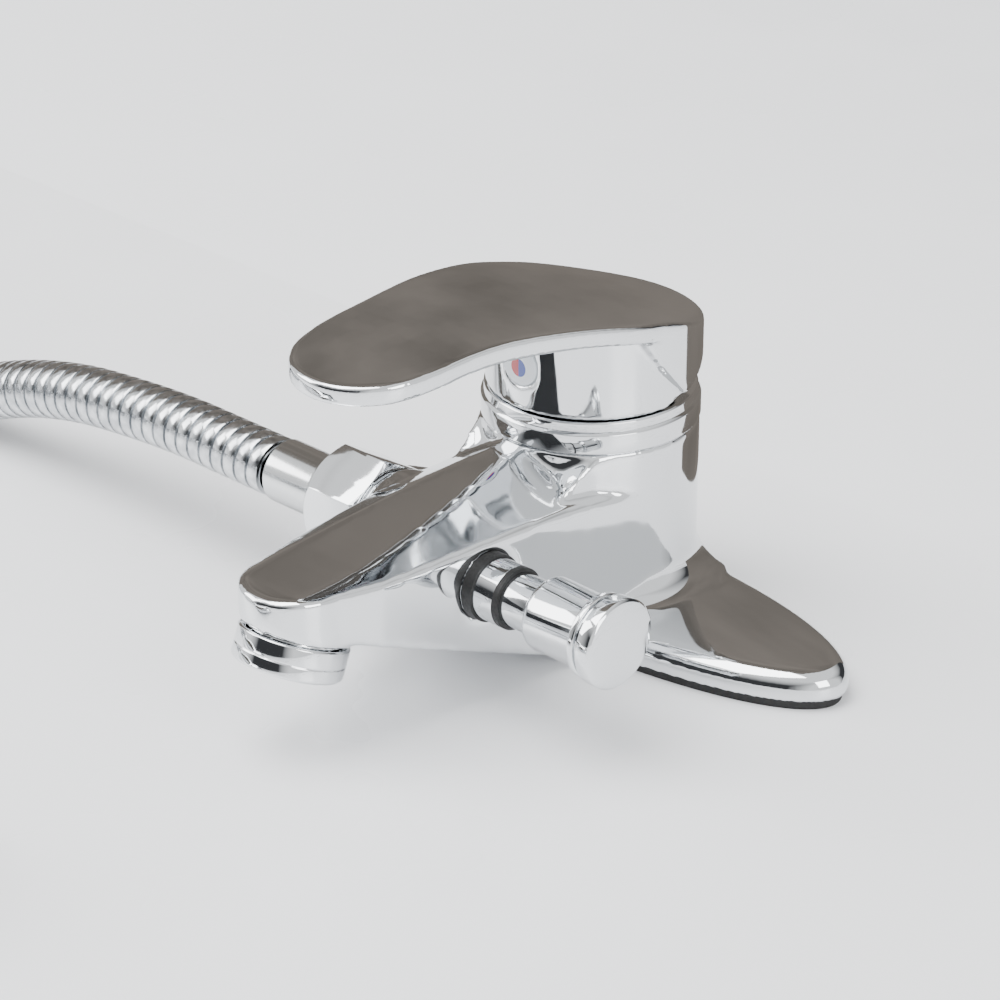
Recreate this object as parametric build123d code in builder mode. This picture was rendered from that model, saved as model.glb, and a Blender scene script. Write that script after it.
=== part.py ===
"""Two-hole basin mixer with a single lever, a pull diverter, a shower hose and a hand shower.

Millimetres, +Z up, +X to the user's right, the spout points to -Y. The origin is on the column's
axis in the deck plane, on the underside of the base gasket.
"""

from build123d import *
from math import cos, pi, radians, sin, tan
import os

os.makedirs("parts", exist_ok=True)

# Clearances
running_gap = 0.05
thread_gap = 0.04
turning_gap = 0.3

# Gasket and base
gasket_thickness = 2.0
gasket_inset = 1.5
inlet_spacing = 102.0
base_length = 146.0
base_width = 44.0
base_height = 8.4
base_end_drop = 2.2
base_crown = 82.0
base_edge_radius = 4.5
base_waist_radius = 12.0
foot_radius = 28.0
foot_blend = 7.0

# Column
column_radius = 24.0
column_top = 46.7
cavity_radius = 17.6
cavity_floor = 14.0
nut_thread_radius = 19.0
nut_thread_depth = 6.3
neck_blend = 11.0
neck_lap = 0.3

# Waterways
inlet_port_radius = 2.8
inlet_port_x = 6.5
inlet_port_y = 4.0
outlet_port_radius = 3.2
outlet_port_y = -8.0
channel_radius = 1.9
channel_height = 5.9
inlet_pocket_rise = 1.5
gallery_radius = 2.6
gallery_start = 5.4

# Spout: stations from the nose to the column, each with a share of the reach, the half width of the
# top facet and its drop below the column's top, the same of the shoulder, and the side wall's flare
spout_reach = 101.3
nose_radius = 11.8
nose_edge_radius = 0.9
spout_spread = 20.0
underside_start = 26.0
underside_angle = 21.9
spout_stations = (
    (1.020, 7.5, 8.7, 12.2, 9.0, 0.0),
    (0.888, 8.6, 7.4, 12.8, 8.8, 0.0),
    (0.740, 8.8, 6.4, 14.8, 9.0, 0.0),
    (0.592, 7.6, 4.7, 16.4, 8.9, 0.5),
    (0.444, 5.8, 2.8, 17.6, 8.9, 1.5),
    (0.296, 3.2, 0.9, 18.4, 9.4, 2.5),
    (0.118, 1.5, 0.1, 21.6, 10.5, 1.5),
    (0.040, 1.3, 0.1, 23.5, 11.0, 0.0),
)

# Aerator, on an axis square to the spout's underside
aerator_setback = 12.0
aerator_radius = 12.0
aerator_length = 7.3
aerator_wall = 1.6
aerator_thread_radius = 10.3
aerator_thread_depth = 5.5
aerator_washer_thickness = 1.3
aerator_lip = 1.0
aerator_groove_place = 3.8
aerator_groove_depth = 0.2
seat_lip = 1.4
insert_hole_radius = 0.8

# Dress ring and the fixed dome inside it
ring_radius = 24.2
ring_band_height = 5.1
ring_step_radius = 23.5
ring_step_height = 2.2
pivot_rise = 3.3
dome_radius = 20.9
dome_wall = 1.2
dome_rise = 11.0

# Cartridge
cartridge_radius = 17.4
cartridge_base_height = 7.0
port_seal_radius = 4.3
port_seal_thickness = 1.2
fixed_disc_radius = 14.7
fixed_disc_thickness = 3.6
moving_disc_radius = 11.4
moving_disc_thickness = 3.8
moving_disc_rest = 2.6
carrier_height = 6.6
carrier_mouth_rise = 1.0
carrier_mouth_radius = 4.0
housing_wall = 2.2
housing_shoulder_depth = 7.5
housing_shoulder_thickness = 1.8
housing_neck_radius = 14.4
housing_neck_bore = 11.9
housing_neck_rise = 6.7
carriage_radius = 11.6
carriage_rise = 2.6
carriage_slot_width = 8.6
carriage_slot_length = 16.0
cartridge_nut_rise = 2.8
cartridge_nut_bore = 14.6

# Lever and spindle
lift_angle = 18.0
lever_arm = 17.0
ball_radius = 2.6
spindle_rod_radius = 2.4
spindle_square = 8.0
spindle_square_start = 6.0
spindle_rise = 19.0
pin_radius = 1.5
hub_radius = 23.2
hub_bore = 21.5
skirt_radius = 24.4
plate_thickness = 4.6
plate_crown_radius = 170.0
plate_edge_radius = 1.0
socket_radius = 8.0
socket_rise = 8.0
plug_radius = 4.8
plug_thickness = 1.6
plug_rise = 14.6
grub_radius = 2.0
grub_length = 7.0
lever_tip = 84.0
lever_tip_radius = 16.0
lever_tip_angle = 40.0
lever_depth = 40.0
# crown line of the lever, from the back to the tip: place along Y and height over the pivot
lever_crown = (
    (27.0, 17.8),
    (17.0, 20.4),
    (2.0, 25.6),
    (-18.0, 30.9),
    (-40.0, 33.9),
    (-58.0, 34.0),
    (-76.0, 32.4),
    (-90.0, 30.6),
)
# half plan of the lever from the hub to the tip
lever_side = (
    (25.2, -12.0),
    (23.9, -22.0),
    (21.3, -36.0),
    (19.2, -46.0),
    (18.0, -56.0),
    (17.4, -65.0),
    (15.6, -73.0),
)
# front edge of the rear skirt, seen from the side, heights over the pivot
skirt_edge = ((-14.0, 34.0), (-11.0, 26.0), (-8.0, 21.0), (-3.0, 14.0), (3.0, 7.5), (7.0, 3.0))

# Diverter, on an axis along X through the spout
diverter_y = -50.8
diverter_z = 28.5
diverter_travel = 5.8
poppet_chamber_radius = 5.6
poppet_radius = 5.0
poppet_thickness = 3.0
poppet_end_gap = 0.2
poppet_seat_x = 2.0
seat_bore = 3.9
spout_port_x = 6.0
stem_bore_start = 9.6
boss_radius = 8.0
boss_end = 17.0
boss_face_depth = 4.0
bushing_radius = 6.9
bushing_end = 25.0
mouth_seal_radius = 7.5
mouth_seal_width = 2.6
wiper_width = 1.4
stem_radius = 6.0
stem_neck_radius = 2.9
stem_shoulder_x = 16.2
poppet_screw_radius = 2.2
knob_start = 34.0
knob_radius = 8.2
knob_shoulder = 2.0
knob_socket_depth = 8.0
knob_body_length = 14.4
collar_radius = 9.4
collar_width = 1.7
knob_groove_radius = 8.6
knob_groove_width = 0.9
cap_radius = 9.9
cap_width = 4.0
cap_rise = 0.9

# Shower outlet, on an axis along -X
outlet_y = -42.0
outlet_z = 28.0
outlet_boss_radius = 11.8
outlet_boss_end = 19.4
outlet_boss_edge = 0.5
outlet_bore = 5.8
outlet_bore_start = 9.0
nipple_socket_radius = 8.4
nipple_socket_depth = 8.0
union_thread_radius = 9.9
union_thread_length = 9.4
hose_nut_across_flats = 22.6
hose_nut_start = 20.8
hose_nut_length = 17.0
hose_nut_chamfer = 3.6
washer_thickness = 2.0
washer_radius = 9.4
check_valve_length = 8.0
check_valve_radius = 5.7
check_valve_bore = 3.4

# Hose and its end fittings
hose_diameter = 14.0
hose_bore = 4.6
rib_pitch = 3.9
rib_depth = 0.9
ferrule_radius = 7.4
ferrule_length = 16.0
ferrule_flange_radius = 9.4
ferrule_flange_width = 1.6
# the free run: length of each stretch and how much it turns down; what follows settles on the deck
run_stretches = ((14.0, 0.0), (51.0, 6.5), (30.0, 15.5))
coil_x = -274.0
coil_radius = 77.0
turn_gap = 1.0
layer_gap = 0.5
tail_length = 40.0

# Hand shower, lying on its face
cone_nut_length = 24.0
cone_nut_radius = 12.2
cone_nut_small_radius = 8.8
grip_length = 150.0
grip_radius = 11.6
grip_bore = 6.0
head_radius = 33.0
head_rise = 27.0
head_wall = 2.4
rim_height = 9.0
rim_chamfer = 1.5
plate_radius = 27.0
face_height = 1.4
plate_height = 2.0
mat_thickness = 1.2
nozzle_radius = 1.1
nozzle_bore = 0.5
nozzle_rings = ((6, 8.0), (12, 15.0), (18, 22.0))
screw_radius = 1.5
screw_head_radius = 2.8
screw_post_radius = 4.0

# Shanks and fixings under the deck
shank_radius = 10.48
shank_bore = 6.5
shank_socket_radius = 9.6
shank_socket_depth = 3.2
shank_thread_radius = 10.2
shank_groove_radius = 9.8
clamp_gap = 14.0
thread_zone = 15.5
shank_groove_width = 3.0
shank_length = 52.0
fixing_washer_radius = 17.0
rubber_washer_thickness = 2.0
clamp_plate_thickness = 1.5
clamp_plate_radius = 16.5
locknut_height = 9.0
locknut_across_flats = 30.0

# Heights and places that follow from the sizes above
poppet_chamber_length = poppet_thickness + diverter_travel + poppet_end_gap
base_bottom = gasket_thickness
base_top = base_bottom + base_height
inlet_x = inlet_spacing / 2
ring_shoulder = column_top + ring_band_height
ring_top = ring_shoulder + ring_step_height
pivot_z = column_top + pivot_rise
dome_bore = dome_radius - dome_wall
hub_bottom = ring_top + turning_gap
cartridge_bottom = cavity_floor + running_gap
fixed_disc_z = cavity_floor + cartridge_base_height
moving_disc_z = fixed_disc_z + fixed_disc_thickness + running_gap
carrier_z = moving_disc_z + moving_disc_thickness
carriage_z = carrier_z + carrier_height + running_gap
housing_bore = cartridge_radius - housing_wall
shoulder_z = column_top - housing_shoulder_depth
nut_z = shoulder_z + housing_shoulder_thickness
neck_top = column_top + housing_neck_rise
ball_z = pivot_z - lever_arm
hose_radius = hose_diameter / 2
ferrule_start = outlet_boss_end + running_gap + union_thread_length + washer_thickness
ferrule_flange_x = ferrule_start + ferrule_flange_width
ferrule_end = hose_nut_start + hose_nut_length + ferrule_length
knob_collar_x = knob_start + knob_body_length
knob_end = knob_collar_x + collar_width + knob_groove_width


def save(part, name):
    """Give a finished piece its name and write it as its own file."""
    part.label = name
    export_step(part, f"parts/{name}.step")


def side_plane(x, y, z):
    """A plane across the X axis, its normal along +X, its own X along +Y."""
    return Plane(origin=(x, y, z), x_dir=(0, 1, 0), z_dir=(1, 0, 0))


def station_plane(y):
    """A plane across the Y axis, with its own X along +X and its own Y along +Z."""
    return Plane(origin=(0, y, 0), x_dir=(1, 0, 0), z_dir=(0, -1, 0))


def aimed_plane(start, end):
    """A plane at the start point whose normal points at the end point."""
    return Plane(origin=start, x_dir=(1, 0, 0), z_dir=end - start)


def base_outline(inset=0.0):
    """The plan of the base: a long oval with a round foot under the column, joined by soft waists."""
    with BuildSketch() as plan:
        Ellipse(base_length / 2 - inset, base_width / 2 - inset)
        Circle(foot_radius - inset)
        fillet(plan.vertices(), base_waist_radius)
    return plan.sketch


def turned(plane, profile):
    """A turned piece: points of (distance along the plane's normal, radius), revolved about it."""
    section = Plane(origin=plane.origin, x_dir=plane.z_dir, z_dir=plane.x_dir)
    with BuildPart() as piece:
        with BuildSketch(section):
            with BuildLine():
                Polyline(*profile, close=True)
            make_face()
        revolve(axis=Axis(plane.origin, plane.z_dir))
    return piece.part


def tube(plane, outer, inner, length):
    """A plain tube from the plane along its normal."""
    return turned(plane, ((0, inner), (0, outer), (length, outer), (length, inner)))


underside_slope = tan(radians(underside_angle))
underside_normal = Vector(0, -sin(radians(underside_angle)), -cos(radians(underside_angle)))
aerator_y = -(spout_reach - aerator_setback)
aerator_z = base_bottom + (-aerator_y - underside_start) * underside_slope
aerator_center = Vector(0, aerator_y, aerator_z)
aerator_plane = Plane(origin=aerator_center, x_dir=(1, 0, 0), z_dir=underside_normal)
diverter_plane = side_plane(0, diverter_y, diverter_z)
outlet_plane = Plane(origin=(0, outlet_y, outlet_z), x_dir=(0, 1, 0), z_dir=(-1, 0, 0))
gallery_foot = Vector(0, outlet_port_y, gallery_start)
gallery_end = Vector(poppet_seat_x - poppet_chamber_length / 2, diverter_y, diverter_z)
spout_port = Vector(spout_port_x, diverter_y, diverter_z)
spray_end = aerator_center - underside_normal * (aerator_thread_depth + 0.5)

# Base gasket
with BuildPart() as base_gasket:
    with BuildSketch():
        add(base_outline(gasket_inset))
        with Locations((-inlet_x, 0), (inlet_x, 0)):
            Circle(shank_radius + turning_gap, mode=Mode.SUBTRACT)
    extrude(amount=gasket_thickness)
save(base_gasket.part, "base_gasket")

# Body casting: the crowned base
with BuildPart() as crowned_base:
    with BuildSketch(Plane.XY.offset(base_bottom)):
        add(base_outline())
    extrude(amount=base_height + base_end_drop)
    with BuildPart(mode=Mode.INTERSECT):
        with BuildSketch(Plane.XZ):
            with BuildLine():
                end_x = base_length / 2 + 2
                end_z = base_top - base_end_drop
                axis_z = base_top - base_crown
                ThreePointArc((-end_x, end_z), (0, base_top), (end_x, end_z))
                Polyline((end_x, end_z), (end_x, axis_z), (-end_x, axis_z), (-end_x, end_z))
            make_face()
        revolve(axis=Axis((0, 0, axis_z), (1, 0, 0)))
    crown = crowned_base.faces().sort_by(Axis.Z)[-1]
    fillet(crown.edges(), base_edge_radius)

# The column and its flared foot, kept inside a shape that leans in from the base's plan to the column
with BuildPart() as column:
    foot_top = base_top - 0.6
    with BuildSketch(Plane.XZ):
        with BuildLine():
            ThreePointArc(
                (column_radius + foot_blend, foot_top),
                (
                    column_radius + foot_blend * (1 - sin(radians(45))),
                    foot_top + foot_blend * (1 - cos(radians(45))),
                ),
                (column_radius, foot_top + foot_blend),
            )
            Polyline(
                (column_radius, foot_top + foot_blend),
                (column_radius, column_top),
                (0, column_top),
                (0, base_bottom),
                (column_radius + foot_blend, base_bottom),
                (column_radius + foot_blend, foot_top),
            )
        make_face()
    revolve(axis=Axis.Z)
    with BuildPart(mode=Mode.INTERSECT):
        with BuildSketch(Plane.XY.offset(base_bottom)):
            add(base_outline())
        with BuildSketch(Plane.XY.offset(foot_top + foot_blend)):
            add(base_outline(foot_radius - column_radius))
        loft(ruled=True)
    with BuildSketch(Plane.XY.offset(base_bottom)):
        Circle(column_radius)
    extrude(amount=column_top - base_bottom)

# The spout: lofted stations, rounded at the nose in plan, with a sloping underside
nose_y = -(spout_reach - nose_radius)
spout_root = -spout_stations[-1][0] * spout_reach
with BuildPart() as spout:
    for share, facet_half, facet_drop, shoulder_half, shoulder_drop, flare in spout_stations:
        facet_z = column_top - facet_drop
        shoulder_top = column_top - shoulder_drop
        foot_half = shoulder_half + (shoulder_top - base_bottom) * tan(radians(flare))
        with BuildSketch(station_plane(-share * spout_reach)):
            with BuildLine():
                Polyline(
                    (-facet_half, facet_z),
                    (facet_half, facet_z),
                    (shoulder_half, shoulder_top),
                    (foot_half, base_bottom),
                    (-foot_half, base_bottom),
                    (-shoulder_half, shoulder_top),
                    close=True,
                )
            make_face()
    loft()
    with BuildSketch():
        with BuildLine():
            side = nose_radius + spout_spread
            ThreePointArc((-nose_radius, nose_y), (0, -spout_reach), (nose_radius, nose_y))
            Polyline((nose_radius, nose_y), (side, spout_root), (-side, spout_root), (-nose_radius, nose_y))
        make_face()
    extrude(amount=column_top + 10, mode=Mode.INTERSECT)
    rim_z = column_top - spout_stations[0][4] - 2
    rim = spout.edges().filter_by(lambda e: e.center().Y < nose_y and e.center().Z > rim_z)
    rim = rim.filter_by(lambda e: e.length > nose_radius)
    fillet(rim, nose_edge_radius)
    with BuildSketch(Plane.YZ):
        with BuildLine():
            Polyline(
                (-underside_start, base_bottom),
                (-underside_start - spout_reach, base_bottom + spout_reach * underside_slope),
                (-underside_start - spout_reach, base_bottom - 5),
                (-underside_start, base_bottom - 5),
                close=True,
            )
        make_face()
    extrude(amount=60, both=True, mode=Mode.SUBTRACT)

# The concave neck that blends the spout's sloping sides into the column: its size fades away
# from the front, so it stays inside the spout's plan
neck_shape = ((-38, 0.03), (-47, 0.12), (-54, 0.36), (-62, 0.70), (-75, 0.92), (-90, 1.0))
neck_shape = neck_shape + tuple((-180 - angle, share) for angle, share in reversed(neck_shape[:-1]))
with BuildPart() as neck:
    for angle, share in neck_shape:
        size = neck_blend * share
        outer = column_radius + size
        inner = column_radius - 3
        high = column_top - 0.4
        low = high - neck_blend - 4
        radial = Plane(
            origin=(0, 0, 0),
            x_dir=(cos(radians(angle)), sin(radians(angle)), 0),
            z_dir=(sin(radians(angle)), -cos(radians(angle)), 0),
        )
        with BuildSketch(radial):
            with BuildLine():
                ThreePointArc(
                    (column_radius - neck_lap, high),
                    (column_radius + size * (1 - cos(radians(45))), high - size * sin(radians(45))),
                    (outer, high - size),
                )
                Polyline((outer, high - size), (outer, low), (inner, low), (inner, high))
                Line((inner, high), (column_radius - neck_lap, high))
            make_face()
    loft()
    with BuildSketch():
        with BuildLine():
            side = spout_stations[-1][3]
            Polyline((-side, 0), (side, 0), (nose_radius, nose_y), (-nose_radius, nose_y), close=True)
        make_face()
    extrude(amount=column_top + 10, mode=Mode.INTERSECT)

with BuildPart() as body_casting:
    add(crowned_base.part)
    add(column.part)
    add(spout.part)
    add(neck.part)
    # lip above the aerator, diverter boss and outlet boss
    with BuildSketch(aerator_plane.offset(-4)):
        Circle(aerator_radius)
    extrude(amount=4 + seat_lip)
    with BuildSketch(diverter_plane.offset(4)):
        Circle(boss_radius)
    extrude(amount=boss_end - 4)
    with BuildSketch(diverter_plane.offset(boss_end)):
        Circle(boss_radius)
    extrude(amount=boss_face_depth, mode=Mode.SUBTRACT)
    with BuildSketch(outlet_plane.offset(3)):
        Circle(outlet_boss_radius)
    extrude(amount=outlet_boss_end - 3)
    outlet_rim = body_casting.edges().filter_by(GeomType.CIRCLE)
    outlet_rim = outlet_rim.filter_by(lambda e: abs(e.center().X + outlet_boss_end) < 0.01)
    fillet(outlet_rim, outlet_boss_edge)
    # cartridge seat and the thread of its nut
    with BuildSketch(Plane.XY.offset(cavity_floor)):
        Circle(cavity_radius)
    extrude(amount=column_top, mode=Mode.SUBTRACT)
    with BuildSketch(Plane.XY.offset(column_top - nut_thread_depth)):
        Circle(nut_thread_radius)
    extrude(amount=column_top, mode=Mode.SUBTRACT)
    # inlet sockets with a pocket over each shank, the channels and the cartridge's inlet ports
    with BuildSketch(Plane.XY.offset(base_bottom)):
        with Locations((-inlet_x, 0), (inlet_x, 0)):
            Circle(shank_socket_radius + thread_gap)
    extrude(amount=shank_socket_depth, mode=Mode.SUBTRACT)
    with BuildSketch(Plane.XY.offset(base_bottom)):
        with Locations((-inlet_x, 0), (inlet_x, 0)):
            Circle(shank_bore)
    extrude(amount=channel_height + inlet_pocket_rise - base_bottom, mode=Mode.SUBTRACT)
    for side in (-1, 1):
        with BuildSketch(Plane.XY.offset(channel_height)):
            with Locations((side * inlet_port_x, inlet_port_y)):
                Circle(inlet_port_radius)
        extrude(amount=cavity_floor, mode=Mode.SUBTRACT)
        with BuildSketch(side_plane(side * inlet_port_x, inlet_port_y, channel_height)):
            Circle(channel_radius)
        extrude(amount=side * (inlet_x - inlet_port_x), mode=Mode.SUBTRACT)
    # mixed water: its port, the gallery up to the diverter, and the bore on to the aerator
    with BuildSketch(Plane.XY.offset(gallery_start)):
        with Locations((0, outlet_port_y)):
            Circle(outlet_port_radius)
    extrude(amount=cavity_floor, mode=Mode.SUBTRACT)
    with BuildSketch(aimed_plane(gallery_foot, gallery_end)):
        Circle(gallery_radius)
    extrude(amount=(gallery_end - gallery_foot).length, mode=Mode.SUBTRACT)
    with BuildSketch(aimed_plane(spout_port, spray_end)):
        Circle(gallery_radius)
    extrude(amount=(spray_end - spout_port).length, mode=Mode.SUBTRACT)
    with BuildSketch(aerator_plane.offset(seat_lip)):
        Circle(aerator_thread_radius + thread_gap)
    extrude(amount=-(aerator_thread_depth + seat_lip), mode=Mode.SUBTRACT)
    # diverter: the bushing's bore, the poppet's chamber and the seat on the hose's side
    with BuildSketch(diverter_plane.offset(poppet_seat_x)):
        Circle(bushing_radius + thread_gap)
    extrude(amount=boss_end, mode=Mode.SUBTRACT)
    with BuildSketch(diverter_plane.offset(poppet_seat_x - poppet_chamber_length)):
        Circle(poppet_chamber_radius)
    extrude(amount=poppet_chamber_length, mode=Mode.SUBTRACT)
    with BuildSketch(diverter_plane.offset(poppet_seat_x - poppet_chamber_length)):
        Circle(seat_bore)
    extrude(amount=-poppet_chamber_radius, mode=Mode.SUBTRACT)
    # outlet bore and the nipple's socket
    with BuildSketch(outlet_plane.offset(outlet_bore_start)):
        Circle(outlet_bore)
    extrude(amount=outlet_boss_end, mode=Mode.SUBTRACT)
    with BuildSketch(outlet_plane.offset(outlet_boss_end - nipple_socket_depth)):
        Circle(nipple_socket_radius + thread_gap)
    extrude(amount=nipple_socket_depth, mode=Mode.SUBTRACT)
save(body_casting.part, "body_casting")

# Dress ring: an outer band, a stepped collar and the fixed dome that the lever moves over
with BuildPart() as bonnet_ring:
    with BuildSketch(Plane.XZ):
        with BuildLine():
            band_edge = 0.6
            dome_top = pivot_z + dome_rise
            dome_foot_x = (dome_radius**2 - (ring_top - pivot_z) ** 2) ** 0.5
            dome_tip_x = (dome_radius**2 - dome_rise**2) ** 0.5
            bore_tip_x = (dome_bore**2 - dome_rise**2) ** 0.5
            middle = radians(22)
            Polyline(
                (dome_bore, pivot_z),
                (dome_bore, column_top),
                (ring_radius - band_edge / 2, column_top),
                (ring_radius, column_top + band_edge / 2),
                (ring_radius, ring_shoulder - band_edge),
                (ring_radius - band_edge, ring_shoulder),
                (ring_step_radius, ring_shoulder),
                (ring_step_radius, ring_top - band_edge / 2),
                (ring_step_radius - band_edge / 2, ring_top),
                (dome_foot_x, ring_top),
            )
            ThreePointArc(
                (dome_foot_x, ring_top),
                (dome_radius * cos(middle), pivot_z + dome_radius * sin(middle)),
                (dome_tip_x, dome_top),
            )
            Line((dome_tip_x, dome_top), (bore_tip_x, dome_top))
            ThreePointArc(
                (bore_tip_x, dome_top),
                (dome_bore * cos(middle), pivot_z + dome_bore * sin(middle)),
                (dome_bore, pivot_z),
            )
        make_face()
    revolve(axis=Axis.Z)
save(bonnet_ring.part, "bonnet_ring")

# Cartridge: a base with three sealed ports
with BuildPart() as cartridge_base:
    with BuildSketch(Plane.XY.offset(cartridge_bottom)):
        Circle(cartridge_radius)
        with Locations((-inlet_port_x, inlet_port_y), (inlet_port_x, inlet_port_y)):
            Circle(inlet_port_radius, mode=Mode.SUBTRACT)
        with Locations((0, outlet_port_y)):
            Circle(outlet_port_radius, mode=Mode.SUBTRACT)
    extrude(amount=fixed_disc_z - cartridge_bottom)
    with BuildSketch(Plane.XY.offset(cartridge_bottom)):
        with Locations((-inlet_port_x, inlet_port_y), (inlet_port_x, inlet_port_y), (0, outlet_port_y)):
            Circle(port_seal_radius + running_gap)
    extrude(amount=port_seal_thickness - running_gap, mode=Mode.SUBTRACT)
save(cartridge_base.part, "cartridge_base")

with BuildPart() as port_seals:
    with BuildSketch(Plane.XY.offset(cavity_floor)):
        with Locations((-inlet_port_x, inlet_port_y), (inlet_port_x, inlet_port_y), (0, outlet_port_y)):
            Circle(port_seal_radius)
            Circle(outlet_port_radius, mode=Mode.SUBTRACT)
    extrude(amount=port_seal_thickness)
save(port_seals.part, "port_seals")

with BuildPart() as fixed_disc:
    with BuildSketch(Plane.XY.offset(fixed_disc_z)):
        Circle(fixed_disc_radius)
        with Locations((-inlet_port_x, inlet_port_y), (inlet_port_x, inlet_port_y)):
            Circle(inlet_port_radius, mode=Mode.SUBTRACT)
        with Locations((0, outlet_port_y)):
            Circle(outlet_port_radius, mode=Mode.SUBTRACT)
    extrude(amount=fixed_disc_thickness)
save(fixed_disc.part, "fixed_ceramic_disc")

# The moving disc rests to the back of centre, where its mixing pocket misses the inlet ports
with BuildPart() as moving_disc:
    with BuildSketch(Plane.XY.offset(moving_disc_z)):
        with Locations((0, moving_disc_rest)):
            Circle(moving_disc_radius)
    extrude(amount=moving_disc_thickness)
    with BuildSketch(Plane.XY.offset(moving_disc_z)):
        with Locations((0, outlet_port_y / 2 - moving_disc_rest / 2)):
            SlotCenterToCenter(7.0, 5.6)
    extrude(amount=moving_disc_thickness * 0.6, mode=Mode.SUBTRACT)
save(moving_disc.part, "moving_ceramic_disc")

with BuildPart() as disc_carrier:
    with BuildSketch(Plane.XY.offset(carrier_z)):
        with Locations((0, moving_disc_rest)):
            Circle(moving_disc_radius)
    extrude(amount=carrier_height)
    with BuildSketch(Plane.XY.offset(ball_z - ball_radius - 0.6)):
        Circle(ball_radius + running_gap)
    extrude(amount=carrier_height * 2, mode=Mode.SUBTRACT)
    with BuildSketch(Plane.XY.offset(ball_z + carrier_mouth_rise)):
        Circle(carrier_mouth_radius)
    extrude(amount=carrier_height, mode=Mode.SUBTRACT)
save(disc_carrier.part, "disc_carrier")

# Housing: a cup over the discs, a shoulder under the nut and a neck round the carriage
with BuildPart() as cartridge_housing:
    with BuildSketch(Plane.XZ):
        with BuildLine():
            Polyline(
                (housing_bore, fixed_disc_z),
                (cartridge_radius, fixed_disc_z),
                (cartridge_radius, nut_z),
                (housing_neck_radius, nut_z),
                (housing_neck_radius, neck_top),
                (housing_neck_bore, neck_top),
                (housing_neck_bore, shoulder_z),
                (housing_bore, shoulder_z),
                close=True,
            )
        make_face()
    revolve(axis=Axis.Z)
save(cartridge_housing.part, "cartridge_housing")

with BuildPart() as cartridge_nut:
    with BuildSketch(Plane.XZ):
        with BuildLine():
            Polyline(
                (cartridge_nut_bore, nut_z),
                (nut_thread_radius - thread_gap, nut_z),
                (nut_thread_radius - thread_gap, column_top),
                (dome_bore - running_gap, column_top),
                (dome_bore - running_gap, column_top + cartridge_nut_rise),
                (cartridge_nut_bore, column_top + cartridge_nut_rise),
                close=True,
            )
        make_face()
    revolve(axis=Axis.Z)
    with BuildSketch(Plane.XY.offset(column_top + cartridge_nut_rise)):
        with PolarLocations((cartridge_nut_bore + dome_bore) / 2, 6):
            Rectangle(12, 2.4)
    extrude(amount=-2.0, mode=Mode.SUBTRACT)
save(cartridge_nut.part, "cartridge_nut")

# Carriage: turns with the lever, holds the pivot pin and leaves a slot for the spindle to tilt in
with BuildPart() as carriage:
    with BuildSketch(Plane.XY.offset(carriage_z)):
        Circle(carriage_radius)
    extrude(amount=pivot_z + carriage_rise - carriage_z)
    with BuildSketch(Plane.XY.offset(carriage_z)):
        Circle(housing_bore - 0.6)
    extrude(amount=shoulder_z - 2 * running_gap - carriage_z)
    with BuildSketch(Plane.XY.offset(carriage_z)):
        Rectangle(carriage_slot_width, carriage_slot_length)
    extrude(amount=column_top, mode=Mode.SUBTRACT)
    with BuildSketch(side_plane(0, 0, pivot_z)):
        Circle(pin_radius + 0.02)
    extrude(amount=carriage_radius, both=True, mode=Mode.SUBTRACT)
save(carriage.part, "carriage")

with BuildPart() as pivot_pin:
    with BuildSketch(side_plane(0, 0, pivot_z)):
        Circle(pin_radius)
    extrude(amount=carriage_radius - 0.4, both=True)
save(pivot_pin.part, "pivot_pin")

with BuildPart() as spindle:
    with BuildSketch(Plane.XY.offset(pivot_z - spindle_square_start)):
        RectangleRounded(spindle_square, spindle_square, 0.8)
    extrude(amount=spindle_square_start + spindle_rise)
    with BuildSketch(Plane.XY.offset(ball_z)):
        Circle(spindle_rod_radius)
    extrude(amount=lever_arm - spindle_square_start)
    with Locations((0, 0, ball_z)):
        Sphere(ball_radius)
    with BuildSketch(side_plane(0, 0, pivot_z)):
        Circle(pin_radius + running_gap)
    extrude(amount=spindle_square, both=True, mode=Mode.SUBTRACT)
    with BuildSketch(station_plane(-spindle_square / 2)):
        with Locations((0, pivot_z + plug_rise)):
            Circle(grub_radius + running_gap)
    extrude(amount=-0.6, mode=Mode.SUBTRACT)
save(spindle.part, "spindle")


def lever_slab(depth, drop=0.0):
    """A slab under the lever's crowned top surface, of the given depth, lowered by the drop."""
    half = skirt_radius + 8
    sag = plate_crown_radius - (plate_crown_radius**2 - half**2) ** 0.5
    with BuildPart() as slab:
        for y, rise in lever_crown:
            top = pivot_z + rise - drop
            with BuildSketch(station_plane(y)):
                with BuildLine():
                    ThreePointArc((-half, top - sag), (0, top), (half, top - sag))
                    Line((half, top - sag), (half, top - sag - depth))
                    ThreePointArc((half, top - sag - depth), (0, top - depth), (-half, top - sag - depth))
                    Line((-half, top - sag - depth), (-half, top - sag))
                make_face()
        loft()
    return slab.part


# Handle: the plate, the hub, the rear skirt with its S-shaped front edge, and the spindle socket
tip_center_y = -(lever_tip - lever_tip_radius)
tip_x = lever_tip_radius * cos(radians(lever_tip_angle))
tip_y = tip_center_y - lever_tip_radius * sin(radians(lever_tip_angle))
tip_slope = (-sin(radians(lever_tip_angle)), -cos(radians(lever_tip_angle)))
under_plate = lever_slab(lever_depth, plate_thickness / 2)

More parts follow.
